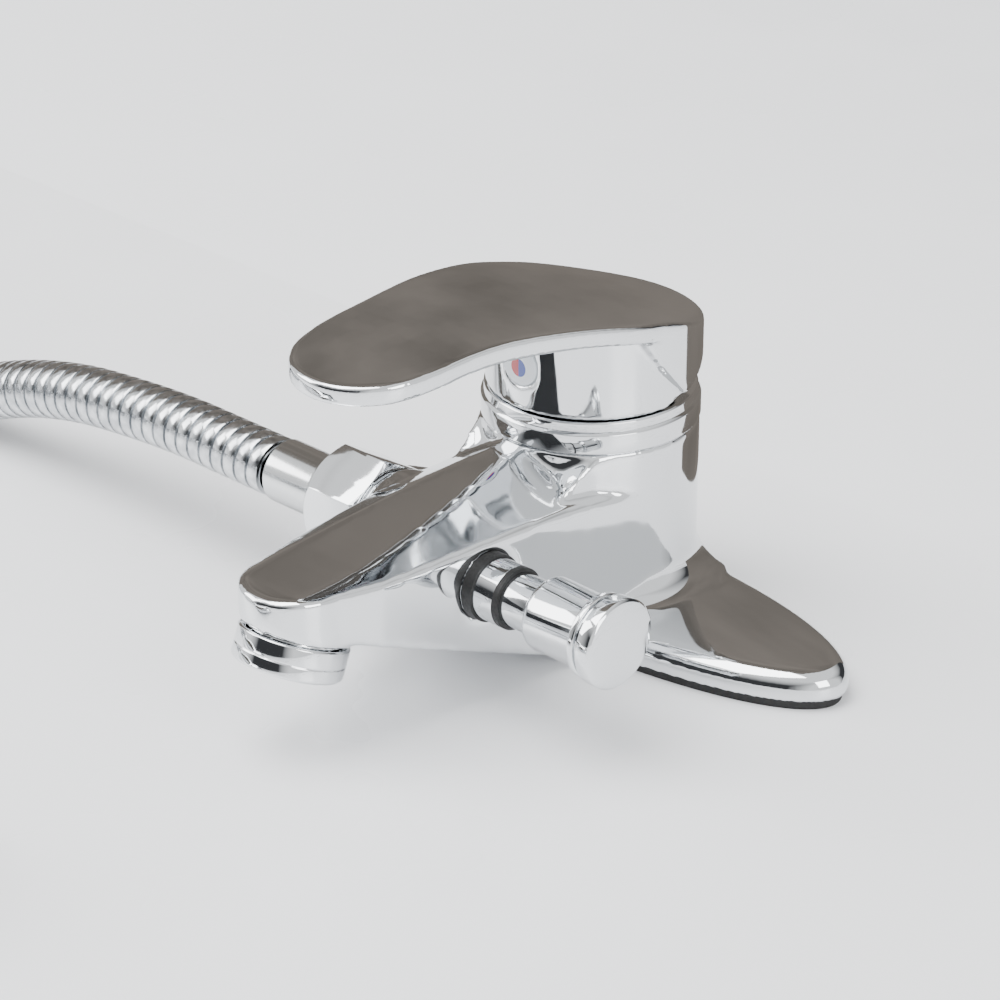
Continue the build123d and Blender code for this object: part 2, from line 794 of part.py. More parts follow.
with BuildPart() as lever_plate:
    with BuildSketch(Plane.XY.offset(hub_bottom)):
        with BuildLine():
            ThreePointArc((-skirt_radius, 0), (0, skirt_radius), (skirt_radius, 0))
            Spline((skirt_radius, 0), *lever_side, (tip_x, tip_y), tangents=((0, -1), tip_slope))
            ThreePointArc((tip_x, tip_y), (0, -lever_tip), (-tip_x, tip_y))
            left_side = tuple((-x, y) for x, y in lever_side)
            Spline(
                (-skirt_radius, 0),
                *left_side,
                (-tip_x, tip_y),
                tangents=((0, -1), (-tip_slope[0], tip_slope[1])),
            )
        make_face()
    extrude(amount=60)
    add(lever_slab(plate_thickness), mode=Mode.INTERSECT)
    rim = lever_plate.edges().filter_by(lambda e: e.length > 4 * plate_thickness)
    fillet(rim, plate_edge_radius)

with BuildPart() as lever_hub:
    with BuildSketch(Plane.XY.offset(hub_bottom)):
        Circle(hub_radius)
    extrude(amount=60)
    add(under_plate, mode=Mode.INTERSECT)

with BuildPart() as lever_skirt:
    with BuildSketch(Plane.XY.offset(hub_bottom)):
        Circle(skirt_radius)
    extrude(amount=60)
    add(under_plate, mode=Mode.INTERSECT)
    with BuildSketch(Plane.YZ):
        with BuildLine():
            edge = [(y, pivot_z + rise) for y, rise in skirt_edge]
            Spline(*edge)
            Polyline(edge[-1], (40, edge[-1][1]), (40, edge[0][1]), edge[0])
        make_face()
    extrude(amount=40, both=True, mode=Mode.INTERSECT)

with BuildPart() as handle:
    add(lever_hub.part)
    add(lever_skirt.part)
    add(lever_plate.part)
    with Locations((0, 0, pivot_z)):
        Sphere(hub_bore, mode=Mode.SUBTRACT)
    with BuildSketch(Plane.XY.offset(pivot_z + socket_rise)):
        Circle(socket_radius)
    extrude(amount=hub_bore - socket_rise + 1)
    with BuildSketch(Plane.XY.offset(pivot_z + socket_rise)):
        RectangleRounded(spindle_square + 2 * running_gap, spindle_square + 2 * running_gap, 0.8)
    extrude(amount=spindle_rise - socket_rise + running_gap, mode=Mode.SUBTRACT)
    # relief behind the pivot, so that the lever can be lifted over the ring
    with BuildSketch(Plane.YZ):
        with BuildLine():
            reach = skirt_radius + 6
            rise = (reach + 1) * tan(radians(lift_angle + 1))
            Polyline(
                (-1, hub_bottom),
                (reach, hub_bottom + rise),
                (reach, hub_bottom - 4),
                (-1, hub_bottom - 4),
                close=True,
            )
        make_face()
    extrude(amount=40, both=True, mode=Mode.SUBTRACT)
    # the screw's thread in the socket, its access hole and the plug's seat
    with BuildSketch(station_plane(0)):
        with Locations((0, pivot_z + plug_rise)):
            Circle(grub_radius)
    extrude(amount=hub_radius, mode=Mode.SUBTRACT)
    with BuildSketch(station_plane(-socket_radius - 2)):
        with Locations((0, pivot_z + plug_rise)):
            Circle(grub_radius + 1)
    extrude(amount=hub_radius, mode=Mode.SUBTRACT)
    with BuildSketch(station_plane(-hub_radius + plug_thickness)):
        with Locations((0, pivot_z + plug_rise)):
            Circle(plug_radius + thread_gap)
    extrude(amount=4, mode=Mode.SUBTRACT)
save(handle.part, "handle")

with BuildPart() as grub_screw:
    with BuildSketch(station_plane(-spindle_square / 2)):
        with Locations((0, pivot_z + plug_rise)):
            Circle(grub_radius - running_gap)
    extrude(amount=grub_length)
    with BuildSketch(station_plane(-spindle_square / 2 - grub_length)):
        with Locations((0, pivot_z + plug_rise)):
            RegularPolygon(1.15, 6)
    extrude(amount=-2.5, mode=Mode.SUBTRACT)
save(grub_screw.part, "grub_screw")

with BuildPart() as indicator_plug:
    with BuildSketch(station_plane(-hub_radius + plug_thickness)):
        with Locations((0, pivot_z + plug_rise)):
            Circle(plug_radius)
    extrude(amount=plug_thickness - 0.1)
    fillet(indicator_plug.faces().sort_by(Axis.Y)[0].edges(), 0.4)
    with BuildSketch(station_plane(-hub_radius + plug_thickness)):
        with Locations((0, pivot_z + plug_rise)):
            Circle(grub_radius + 1 - thread_gap)
    extrude(amount=-3)
save(indicator_plug.part, "indicator_plug")

# Aerator: a skirted housing on a thread, a perforated insert and a washer
seat = seat_lip + turning_gap
aerator_groove = seat + aerator_groove_place
aerator_bore = aerator_thread_radius - aerator_wall
neck_end = -(aerator_thread_depth - aerator_washer_thickness - running_gap)
housing = turned(
    aerator_plane,
    (
        (neck_end, aerator_bore),
        (neck_end, aerator_thread_radius),
        (seat, aerator_thread_radius),
        (seat, aerator_radius - 0.4),
        (seat + 0.4, aerator_radius),
        (aerator_groove, aerator_radius),
        (aerator_groove + aerator_groove_depth, aerator_radius - aerator_groove_depth),
        (aerator_groove + 2 * aerator_groove_depth, aerator_radius),
        (seat + aerator_length - 0.6, aerator_radius),
        (seat + aerator_length, aerator_radius - 0.6),
        (seat + aerator_length, aerator_bore - aerator_lip),
        (seat + aerator_length - aerator_lip, aerator_bore - aerator_lip),
        (seat + aerator_length - aerator_lip, aerator_bore),
    ),
)
save(housing, "aerator_housing")

with BuildPart() as aerator_insert:
    with BuildSketch(aerator_plane.offset(seat + aerator_length - aerator_lip)):
        Circle(aerator_bore - running_gap)
        with Locations((0, 0)):
            Circle(insert_hole_radius, mode=Mode.SUBTRACT)
        for ring in (1, 2):
            with PolarLocations(ring * (aerator_bore - 1) / 3, 6 * ring):
                Circle(insert_hole_radius, mode=Mode.SUBTRACT)
    extrude(amount=-aerator_length * 0.8)
save(aerator_insert.part, "aerator_insert")

washer_plane = aerator_plane.offset(-aerator_thread_depth)
save(tube(washer_plane, aerator_thread_radius, aerator_bore - 1, aerator_washer_thickness), "aerator_washer")

# Diverter: a bushing with the poppet's seat, two rubber rings, the stem and its poppet, and the knob
with BuildPart() as diverter_bushing:
    add(
        turned(
            diverter_plane,
            (
                (poppet_seat_x, seat_bore),
                (poppet_seat_x, bushing_radius),
                (bushing_end, bushing_radius),
                (bushing_end, stem_radius + running_gap),
                (stem_bore_start, stem_radius + running_gap),
                (stem_bore_start, seat_bore),
            ),
        )
    )
    with BuildSketch(aimed_plane(spout_port, spray_end)):
        Circle(gallery_radius)
    extrude(amount=bushing_radius * 2, mode=Mode.SUBTRACT)
save(diverter_bushing.part, "diverter_bushing")

mouth = diverter_plane.offset(boss_end)
save(tube(mouth, mouth_seal_radius, bushing_radius + running_gap, mouth_seal_width), "mouth_seal_ring")
wiper = diverter_plane.offset(bushing_end)
save(tube(wiper, bushing_radius, stem_radius + running_gap, wiper_width), "stem_wiper_ring")

poppet_x = poppet_seat_x - poppet_thickness - running_gap
stem = turned(
    diverter_plane,
    (
        (poppet_x - 1.0, 0),
        (poppet_x - 1.0, 1.4),
        (poppet_x + poppet_thickness, 1.4),
        (poppet_x + poppet_thickness, stem_neck_radius),
        (stem_shoulder_x, stem_neck_radius),
        (stem_shoulder_x, stem_radius),
        (knob_start + knob_socket_depth, stem_radius),
        (knob_start + knob_socket_depth, 0),
    ),
)
save(stem, "diverter_stem")
save(tube(diverter_plane.offset(poppet_x), poppet_radius, 1.4 + running_gap, poppet_thickness), "poppet_seal")
poppet_screw = turned(
    diverter_plane,
    (
        (poppet_x - 1.6, 0),
        (poppet_x - 1.6, poppet_screw_radius),
        (poppet_x, poppet_screw_radius),
        (poppet_x, 1.4 + running_gap),
        (poppet_x - 1.0, 1.4 + running_gap),
        (poppet_x - 1.0, 0),
    ),
)
save(poppet_screw, "poppet_screw")

with BuildPart() as knob:
    add(
        turned(
            diverter_plane,
            (
                (knob_start, stem_radius + running_gap),
                (knob_start, knob_radius),
                (knob_collar_x, knob_radius),
                (knob_collar_x, collar_radius),
                (knob_collar_x + collar_width, collar_radius),
                (knob_collar_x + collar_width, knob_groove_radius),
                (knob_end, knob_groove_radius),
                (knob_end, stem_radius + running_gap),
            ),
        )
    )
    rear = knob.edges().filter_by(GeomType.CIRCLE).group_by(Axis.X)[0].sort_by(SortBy.RADIUS)[-1]
    fillet(rear, knob_shoulder)
    collar = knob.edges().filter_by(GeomType.CIRCLE).filter_by(lambda e: abs(e.radius - collar_radius) < 0.01)
    fillet(collar, 0.5)
save(knob.part, "diverter_knob")

with BuildPart() as knob_cap:
    with BuildSketch(Plane(origin=diverter_plane.origin, x_dir=(1, 0, 0), z_dir=(0, -1, 0))):
        with BuildLine():
            edge_x = knob_end + cap_width
            round_off = 0.5
            dome = ((cap_radius - round_off) ** 2 + cap_rise**2) / (2 * cap_rise)
            half_radius = (cap_radius - round_off) / 2
            half_x = edge_x + cap_rise - dome + (dome**2 - half_radius**2) ** 0.5
            spigot_x = knob_start + knob_socket_depth + running_gap
            Polyline(
                (edge_x + cap_rise, 0),
                (spigot_x, 0),
                (spigot_x, stem_radius),
                (knob_end, stem_radius),
                (knob_end, cap_radius - round_off),
                (knob_end + round_off, cap_radius),
                (edge_x - round_off, cap_radius),
                (edge_x, cap_radius - round_off),
            )
            ThreePointArc(
                (edge_x, cap_radius - round_off),
                (half_x, half_radius),
                (edge_x + cap_rise, 0),
            )
        make_face()
    revolve(axis=Axis(diverter_plane.origin, (1, 0, 0)))
save(knob_cap.part, "diverter_knob_cap")

# Shower outlet: nipple, non-return valve, nut, washer and the hose's ferrule
socket_floor = outlet_boss_end - nipple_socket_depth + running_gap
union_end = outlet_boss_end + running_gap + union_thread_length
nipple = turned(
    outlet_plane,
    (
        (socket_floor, outlet_bore),
        (socket_floor, nipple_socket_radius),
        (outlet_boss_end + running_gap, nipple_socket_radius),
        (outlet_boss_end + running_gap, union_thread_radius),
        (union_end, union_thread_radius),
        (union_end, outlet_bore),
    ),
)
save(nipple, "outlet_nipple")
valve_plane = outlet_plane.offset(union_end - check_valve_length)
save(tube(valve_plane, check_valve_radius, check_valve_bore, check_valve_length), "non_return_valve")
save(tube(outlet_plane.offset(union_end), washer_radius, hose_bore, washer_thickness), "hose_washer")

with BuildPart() as hose_nut:
    corner = hose_nut_across_flats / 2 / cos(radians(30))
    with BuildSketch(outlet_plane.offset(hose_nut_start)):
        RegularPolygon(corner, 6, rotation=30)
    extrude(amount=hose_nut_length)
    chamfer_x = corner - hose_nut_across_flats / 2
    add(
        turned(
            outlet_plane,
            (
                (hose_nut_start, 0),
                (hose_nut_start, hose_nut_across_flats / 2),
                (hose_nut_start + chamfer_x * 0.6, corner),
                (hose_nut_start + hose_nut_length - hose_nut_chamfer, corner),
                (hose_nut_start + hose_nut_length, ferrule_radius + 2.2),
                (hose_nut_start + hose_nut_length, 0),
            ),
        ),
        mode=Mode.INTERSECT,
    )
    with BuildSketch(outlet_plane.offset(hose_nut_start)):
        Circle(union_thread_radius + thread_gap)
    extrude(amount=ferrule_flange_x + running_gap - hose_nut_start, mode=Mode.SUBTRACT)
    with BuildSketch(outlet_plane.offset(hose_nut_start)):
        Circle(ferrule_radius + running_gap)
    extrude(amount=hose_nut_length, mode=Mode.SUBTRACT)
save(hose_nut.part, "hose_nut")

ferrule = turned(
    outlet_plane,
    (
        (ferrule_start, hose_bore),
        (ferrule_start, ferrule_flange_radius),
        (ferrule_flange_x, ferrule_flange_radius),
        (ferrule_flange_x, ferrule_radius),
        (ferrule_end - 0.4, ferrule_radius),
        (ferrule_end, ferrule_radius - 0.4),
        (ferrule_end, hose_bore),
    ),
)
save(ferrule, "hose_ferrule")


def hose_place(stretches, along):
    """Point and downward angle on the free run, at a distance from its start, in the X-Z plane."""
    x, z, angle = 0.0, 0.0, 0.0
    for length, turn in stretches:
        step = min(along, length)
        end = angle + radians(turn) * step / length
        middle = (angle + end) / 2
        half = (end - angle) / 2
        chord = step if abs(half) < 1e-9 else step * sin(half) / half
        x += chord * cos(middle)
        z -= chord * sin(middle)
        angle = end
        along -= step
        if along <= 0:
            break
    return x, z, angle


def ribbed_hose(stretches, place):
    """A ribbed tube with its bore: each rib is a ruled loft through four circles on a steady X axis."""
    total = sum(length for length, turn in stretches)
    ribs = round(total / rib_pitch)
    pitch = total / ribs
    valley = hose_radius - rib_depth
    shape = ((0.0, valley), (0.16, hose_radius - 0.1), (0.5, hose_radius), (0.84, hose_radius - 0.1))
    with BuildPart() as hose:
        for rib in range(ribs):
            for share, radius in shape:
                with BuildSketch(place(hose_place(stretches, (rib + share) * pitch))):
                    Circle(radius)
        with BuildSketch(place(hose_place(stretches, total))):
            Circle(valley)
        loft(ruled=True)
        with BuildLine(mode=Mode.PRIVATE) as route:
            walked = 0.0
            for length, turn in stretches:
                first = place(hose_place(stretches, walked)).origin
                middle = place(hose_place(stretches, walked + length / 2)).origin
                walked += length
                last = place(hose_place(stretches, walked)).origin
                if turn == 0:
                    Line(first, last)
                else:
                    ThreePointArc(first, middle, last)
        with BuildSketch(place(hose_place(stretches, 0.0))):
            Circle(hose_bore)
        sweep(path=route.wire(), mode=Mode.SUBTRACT)
    print("ribs", ribs, "length", round(total, 1))
    return hose.part


def run_plane(spot):
    """The plane across the free run that leaves the ferrule along -X."""
    x, z, angle = spot
    return Plane(
        origin=(-ferrule_end - x, outlet_y, outlet_z + z),
        x_dir=(0, 1, 0),
        z_dir=(-cos(angle), 0, -sin(angle)),
    )


# The free run droops to the deck, settles on it and meets the coil
sag_x, sag_z, sag_angle = hose_place(run_stretches, sum(length for length, turn in run_stretches))
settle_radius = (outlet_z - hose_radius + sag_z) / (1 - cos(sag_angle))
settle = (settle_radius * sag_angle, -sag_angle * 180 / pi)
laid_x = ferrule_end + sag_x + settle_radius * sin(sag_angle)
coil_start_x = coil_x + hose_diameter
laid = (-coil_start_x - laid_x, 0.0)
save(ribbed_hose(run_stretches + (settle, laid), run_plane), "hose_run")

# The coil: one turn inwards on the deck, a half turn that climbs a layer, one turn outwards on top
coil_y = outlet_y - coil_radius
turn_pitch = hose_diameter + turn_gap
layer_rise = hose_diameter + layer_gap
first_turn = 4
climb_turn = 2
quarter_turns = 2 * first_turn + climb_turn


def coil_spot(quarters):
    """A point on the coil's centre line, by quarter turns from its start behind the centre."""
    angle = radians(90 + 90 * quarters)
    inwards = min(quarters, quarter_turns - quarters)
    radius = coil_radius - turn_pitch * inwards / first_turn
    climb = min(max((quarters - first_turn) / climb_turn, 0.0), 1.0)
    height = hose_radius + layer_rise * climb * climb * (3 - 2 * climb)
    return Vector(coil_x + radius * cos(angle), coil_y + radius * sin(angle), height)


def coil_heading(quarters):
    """The direction of the centre line there, square to the radius at both ends."""
    if quarters in (0, quarter_turns):
        angle = radians(180 + 90 * quarters)
        return Vector(cos(angle), sin(angle), 0)
    step = 0.01
    return (coil_spot(quarters + step) - coil_spot(quarters - step)).normalized()


def biarc_joint(start, start_heading, end, end_heading):
    """Where two tangent arcs of equal tangent length meet between two headings."""
    span = end - start
    both = start_heading + end_heading
    a = 2 * (1 - start_heading.dot(end_heading))
    b = 2 * span.dot(both)
    c = -span.dot(span)
    reach = -c / b if abs(a) < 1e-9 else (-b + (b * b - 4 * a * c) ** 0.5) / (2 * a)
    first = start + start_heading * reach
    second = end - end_heading * reach
    return (first + second) * 0.5, (second - first).normalized()


coil_end = coil_spot(quarter_turns)
with BuildPart() as hose_coil:
    with BuildLine() as coil_path:
        Line((coil_start_x, outlet_y, hose_radius), coil_spot(0))
        for quarter in range(quarter_turns):
            here, there = coil_spot(quarter), coil_spot(quarter + 1)
            heading, next_heading = coil_heading(quarter), coil_heading(quarter + 1)
            joint, joint_heading = biarc_joint(here, heading, there, next_heading)
            TangentArc(here, joint, tangent=heading)
            TangentArc(joint, there, tangent=joint_heading)
        Line(coil_end, coil_end + coil_heading(quarter_turns) * hose_diameter)
    with BuildSketch(Plane(origin=(coil_start_x, outlet_y, hose_radius), x_dir=(0, 1, 0), z_dir=(-1, 0, 0))):
        Circle(hose_radius)
        Circle(hose_bore, mode=Mode.SUBTRACT)
    sweep()
save(hose_coil.part, "hose_coil")
coil_wire = coil_path.wire()
samples = [coil_wire.position_at(i / 600) for i in range(601)]
spacing = coil_wire.length / 600
apart = int(3 * hose_diameter / spacing)
least = min(
    (samples[i] - samples[j]).length for i in range(601) for j in range(i + apart, 601)
)
print("coil length", round(coil_wire.length), "least gap", round(least - hose_diameter, 2))
smallest = min(edge.radius for edge in coil_wire.edges() if edge.geom_type == GeomType.CIRCLE)
print("smallest coil radius", round(smallest, 1))

# The tail leaves the top of the coil along +X, at the height of its upper layer
tail_start = coil_end + coil_heading(quarter_turns) * hose_diameter
tail_x = tail_start.X
tail_y = tail_start.Y
tail_z = tail_start.Z


def tail_plane(spot):
    """The plane across the tail."""
    x, z, angle = spot
    heading = (cos(angle), 0, -sin(angle))
    return Plane(origin=(tail_x + x, tail_y, tail_z + z), x_dir=(0, 1, 0), z_dir=heading)


save(ribbed_hose(((tail_length, 0.0),), tail_plane), "hose_tail")

# Hand shower: ferrule, washer and cone nut on the hose, then the shell, lying on its face
hand_plane = side_plane(tail_x + tail_length, tail_y, tail_z)
spigot_length = 9.0
inside_nut = cone_nut_length - spigot_length - washer_thickness - ferrule_flange_width
nut_from = ferrule_length - 2.0
flange_from = nut_from + inside_nut
spigot_from = flange_from + ferrule_flange_width + washer_thickness
far_ferrule = turned(
    hand_plane,
    (
        (0, hose_bore),
        (0, ferrule_radius - 0.4),
        (0.4, ferrule_radius),
        (flange_from, ferrule_radius),
        (flange_from, ferrule_flange_radius),
        (flange_from + ferrule_flange_width, ferrule_flange_radius),
        (flange_from + ferrule_flange_width, hose_bore),
    ),
)
save(far_ferrule, "far_ferrule")
far_washer = hand_plane.offset(flange_from + ferrule_flange_width)
save(tube(far_washer, washer_radius, hose_bore, washer_thickness), "far_washer")
cone_nut = turned(
    hand_plane,
    (
        (nut_from, ferrule_radius + running_gap),
        (nut_from, cone_nut_small_radius),
        (nut_from + cone_nut_length * 0.65, cone_nut_radius),
        (nut_from + cone_nut_length, cone_nut_radius),
        (nut_from + cone_nut_length, union_thread_radius + thread_gap),
        (flange_from - running_gap, union_thread_radius + thread_gap),
        (flange_from - running_gap, ferrule_radius + running_gap),
    ),
)
save(cone_nut, "cone_nut")

grip_x = tail_x + tail_length + nut_from + cone_nut_length + turning_gap
head_x = grip_x + grip_length
plate_top = face_height + plate_height
mat_top = plate_top + mat_thickness
head_plane = Plane(origin=(head_x, tail_y, 0), x_dir=(1, 0, 0), z_dir=(0, 0, 1))
grip_stations = (
    (0.0, grip_radius, grip_radius, tail_z),
    (0.45, grip_radius + 0.6, grip_radius + 0.4, tail_z),
    (0.75, grip_radius + 1.2, grip_radius, tail_z - 0.4),
    (0.86, grip_radius + 4.0, grip_radius - 1.6, tail_z - 2.5),
    (0.98, grip_radius + 9.0, grip_radius - 3.6, tail_z - 6.0),
)
with BuildPart() as handset_shell:
    for share, half_width, half_height, z in grip_stations:
        with BuildSketch(side_plane(grip_x + share * grip_length, tail_y, z)):
            Ellipse(half_width, half_height)
    loft()
    with BuildSketch(Plane(origin=(head_x, tail_y, 0), x_dir=(1, 0, 0), z_dir=(0, -1, 0))):
        with BuildLine():
            Polyline(
                (0, head_rise),
                (0, face_height),
                (head_radius - rim_chamfer, face_height),
                (head_radius, face_height + rim_chamfer),
                (head_radius, rim_height),
            )
            ThreePointArc(
                (head_radius, rim_height),
                (head_radius * 0.68, rim_height + (head_rise - rim_height) * 0.68),
                (0, head_rise),
            )
        make_face()
    revolve(axis=Axis((head_x, tail_y, 0), (0, 0, 1)))
    with BuildSketch(Plane(origin=(head_x, tail_y, 0), x_dir=(1, 0, 0), z_dir=(0, -1, 0))):
        with BuildLine():
            chamber_radius = plate_radius - 2
            chamber_top = head_rise - head_wall
            Polyline(
                (0, chamber_top),
                (0, face_height),
                (plate_radius + running_gap, face_height),
                (plate_radius + running_gap, mat_top),
                (chamber_radius, mat_top),
                (chamber_radius, rim_height),
            )
            ThreePointArc(
                (chamber_radius, rim_height),
                (chamber_radius * 0.68, rim_height + (chamber_top - rim_height) * 0.68),
                (0, chamber_top),
            )
        make_face()
    revolve(axis=Axis((head_x, tail_y, 0), (0, 0, 1)), mode=Mode.SUBTRACT)
    with BuildSketch(head_plane.offset(mat_top)):
        Circle(screw_post_radius)
    extrude(amount=head_rise - head_wall - mat_top + 0.5)
    with BuildSketch(head_plane.offset(mat_top)):
        Circle(screw_radius + 0.02)
    extrude(amount=6, mode=Mode.SUBTRACT)
    with BuildSketch(side_plane(grip_x, tail_y, tail_z)):
        Circle(union_thread_radius)
    extrude(amount=-(spigot_length + turning_gap))
    with BuildSketch(side_plane(grip_x - spigot_length - 1, tail_y, tail_z)):
        Circle(grip_bore)
    extrude(amount=spigot_length + 1 + grip_length * 0.8, mode=Mode.SUBTRACT)
    with BuildSketch(side_plane(grip_x + grip_length * 0.75, tail_y, tail_z - 5.5)):
        Circle(grip_bore - 1)
    extrude(amount=grip_length * 0.25, mode=Mode.SUBTRACT)
save(handset_shell.part, "handset_shell")

with BuildPart() as spray_plate:
    with BuildSketch(head_plane.offset(face_height)):
        Circle(plate_radius)
        Circle(screw_radius + running_gap, mode=Mode.SUBTRACT)
        for count, radius in nozzle_rings:
            with PolarLocations(radius, count):
                Circle(nozzle_radius + running_gap, mode=Mode.SUBTRACT)
    extrude(amount=plate_height)
    with BuildSketch(head_plane.offset(face_height)):
        Circle(screw_head_radius + running_gap)
    extrude(amount=1.2, mode=Mode.SUBTRACT)
save(spray_plate.part, "spray_plate")

with BuildPart() as nozzle_mat:
    with BuildSketch(head_plane.offset(plate_top)):
        Circle(plate_radius - running_gap)
        Circle(screw_radius + running_gap, mode=Mode.SUBTRACT)
    extrude(amount=mat_thickness)
    with BuildSketch(head_plane):
        for count, radius in nozzle_rings:
            with PolarLocations(radius, count):
                Circle(nozzle_radius)
    extrude(amount=plate_top)
    with BuildSketch(head_plane):
        for count, radius in nozzle_rings:
            with PolarLocations(radius, count):
                Circle(nozzle_bore)
    extrude(amount=mat_top, mode=Mode.SUBTRACT)
save(nozzle_mat.part, "nozzle_mat")

spray_screw = turned(
    head_plane,
    (
        (face_height, 0),
        (face_height, screw_head_radius),
        (face_height + 1.2, screw_head_radius),
        (face_height + 1.2, screw_radius),
        (mat_top + 5, screw_radius),
        (mat_top + 5, 0),
    ),
)
save(spray_screw, "spray_plate_screw")

# Inlet shanks and their fixings under the deck
for side, name in ((-1, "hot"), (1, "cold")):
    shank_plane = Plane(origin=(side * inlet_x, 0, 0), x_dir=(1, 0, 0), z_dir=(0, 0, -1))
    thread_end = clamp_gap + thread_zone
    tail_from = thread_end + shank_groove_width
    socket_top = -(base_bottom + shank_socket_depth - running_gap)
    shank = turned(
        shank_plane,
        (
            (socket_top, shank_bore),
            (socket_top, shank_socket_radius),
            (-base_bottom + running_gap, shank_socket_radius),
            (-base_bottom + running_gap, shank_radius),
            (clamp_gap - 0.5, shank_radius),
            (clamp_gap - 0.5, shank_thread_radius),
            (thread_end, shank_thread_radius),
            (thread_end, shank_groove_radius),
            (tail_from, shank_groove_radius),
            (tail_from, shank_radius),
            (shank_length - 1, shank_radius),
            (shank_length, shank_radius - 1),
            (shank_length, shank_bore),
        ),
    )
    save(shank, f"{name}_inlet_shank")
    fixing_bore = shank_radius + 0.2
    soft_at = shank_plane.offset(clamp_gap)
    save(tube(soft_at, fixing_washer_radius, fixing_bore, rubber_washer_thickness), f"{name}_rubber_washer")
    plate_at = shank_plane.offset(clamp_gap + rubber_washer_thickness)
    save(tube(plate_at, clamp_plate_radius, fixing_bore, clamp_plate_thickness), f"{name}_clamp_plate")
    nut_at = shank_plane.offset(clamp_gap + rubber_washer_thickness + clamp_plate_thickness)
    with BuildPart() as locknut:
        with BuildSketch(nut_at):
            RegularPolygon(locknut_across_flats / 2, 6, major_radius=False)
            Circle(shank_thread_radius + thread_gap, mode=Mode.SUBTRACT)
        extrude(amount=locknut_height)
    save(locknut.part, f"{name}_locknut")
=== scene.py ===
"""Basin mixer with hand shower: polished chrome brass on a white basin deck.

Metres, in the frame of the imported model: the origin is on the column's axis in the deck plane,
+Z up, +X to the user's right, the spout points to -Y.
"""

from math import cos, pi, radians, sin

import bpy
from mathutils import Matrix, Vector


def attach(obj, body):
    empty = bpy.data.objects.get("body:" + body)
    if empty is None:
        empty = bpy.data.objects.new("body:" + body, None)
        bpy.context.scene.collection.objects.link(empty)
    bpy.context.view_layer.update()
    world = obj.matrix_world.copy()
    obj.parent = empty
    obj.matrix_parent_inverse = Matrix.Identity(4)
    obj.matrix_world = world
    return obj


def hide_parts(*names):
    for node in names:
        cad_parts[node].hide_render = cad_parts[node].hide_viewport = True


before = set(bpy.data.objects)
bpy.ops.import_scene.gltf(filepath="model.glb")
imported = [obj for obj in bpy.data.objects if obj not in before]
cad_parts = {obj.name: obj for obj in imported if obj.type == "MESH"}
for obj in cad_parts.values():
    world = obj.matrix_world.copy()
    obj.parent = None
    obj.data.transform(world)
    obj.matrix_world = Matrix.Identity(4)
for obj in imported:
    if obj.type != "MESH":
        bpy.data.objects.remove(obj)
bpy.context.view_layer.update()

MM = 0.001


def new_object(name, data):
    """A new object for this data, linked to the scene."""
    obj = bpy.data.objects.new(name, data)
    bpy.context.scene.collection.objects.link(obj)
    return obj


# Camera: as far off, and with as long a lens, as the photograph's perspective asks for

camera_place = Vector((0.4877, -0.5382, 0.3902))
camera_aim = Vector((-0.6174, 0.6449, -0.4504))
camera_data = bpy.data.cameras.new("camera")
camera_data.lens = 131.6
camera_data.sensor_width = 36.0
camera = new_object("camera", camera_data)
camera.rotation_mode = "QUATERNION"
camera.location = camera_place
camera.rotation_quaternion = camera_aim.to_track_quat("-Z", "Y")
bpy.context.scene.camera = camera


# Bench: picking, casting, machining and finishing a piece

# Points closer than this are one point, faces that turn by less than this are one face, and edges that
# turn by more than this are sharp
weld_distance = 0.002 * MM
flat_turn = radians(0.3)
sharp_turn = radians(32)


def pick(piece):
    """Select just this piece and make it the active one."""
    bpy.ops.object.select_all(action="DESELECT")
    piece.select_set(True)
    bpy.context.view_layer.objects.active = piece


def apply_modifiers(piece):
    """Apply every modifier of a piece in turn."""
    pick(piece)
    for modifier in list(piece.modifiers):
        bpy.ops.object.modifier_apply(modifier=modifier.name)


def merged_copy(node, name):
    """A copy of a CAD node's mesh with its loose triangles joined up."""
    piece = new_object(name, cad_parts[node].data.copy())
    pick(piece)
    bpy.ops.object.mode_set(mode="EDIT")
    bpy.ops.mesh.select_all(action="SELECT")
    bpy.ops.mesh.customdata_custom_splitnormals_clear()
    bpy.ops.mesh.remove_doubles(threshold=weld_distance)
    bpy.ops.mesh.normals_make_consistent(inside=False)
    bpy.ops.object.mode_set(mode="OBJECT")
    return piece


def off_axis(spot, start, heading):
    """How far a spot lies along a bore from its start, and how far off the bore's axis."""
    away = spot - Vector(start) * MM
    along = away.dot(Vector(heading))
    return along, (away - Vector(heading) * along).length


def in_bore(spot, start, heading, radius):
    """Whether a spot lies in a machined bore; start and radius are in millimetres."""
    along, reach = off_axis(spot, start, heading)
    return along > 0 and reach < radius * MM


def cast_copy(node, name, voxel, rounds, bores=()):
    """A casting that has been linished and buffed: every outer edge a little soft, its bores true.

    The voxel of its skin is in millimetres, and rounds says how often the buffing goes over it.
    """
    piece = merged_copy(node, name)
    remesh = piece.modifiers.new("skin", "REMESH")
    remesh.mode = "VOXEL"
    remesh.voxel_size = voxel * MM
    apply_modifiers(piece)
    buffed = piece.vertex_groups.new(name="buffed")
    outside = [v.index for v in piece.data.vertices if not any(in_bore(v.co, *bore) for bore in bores)]
    buffed.add(outside, 1.0, "REPLACE")
    smooth = piece.modifiers.new("buffing", "SMOOTH")
    smooth.factor = 0.5
    smooth.iterations = rounds
    smooth.vertex_group = "buffed"
    apply_modifiers(piece)
    piece.vertex_groups.clear()
    bpy.ops.object.shade_smooth()
    return piece


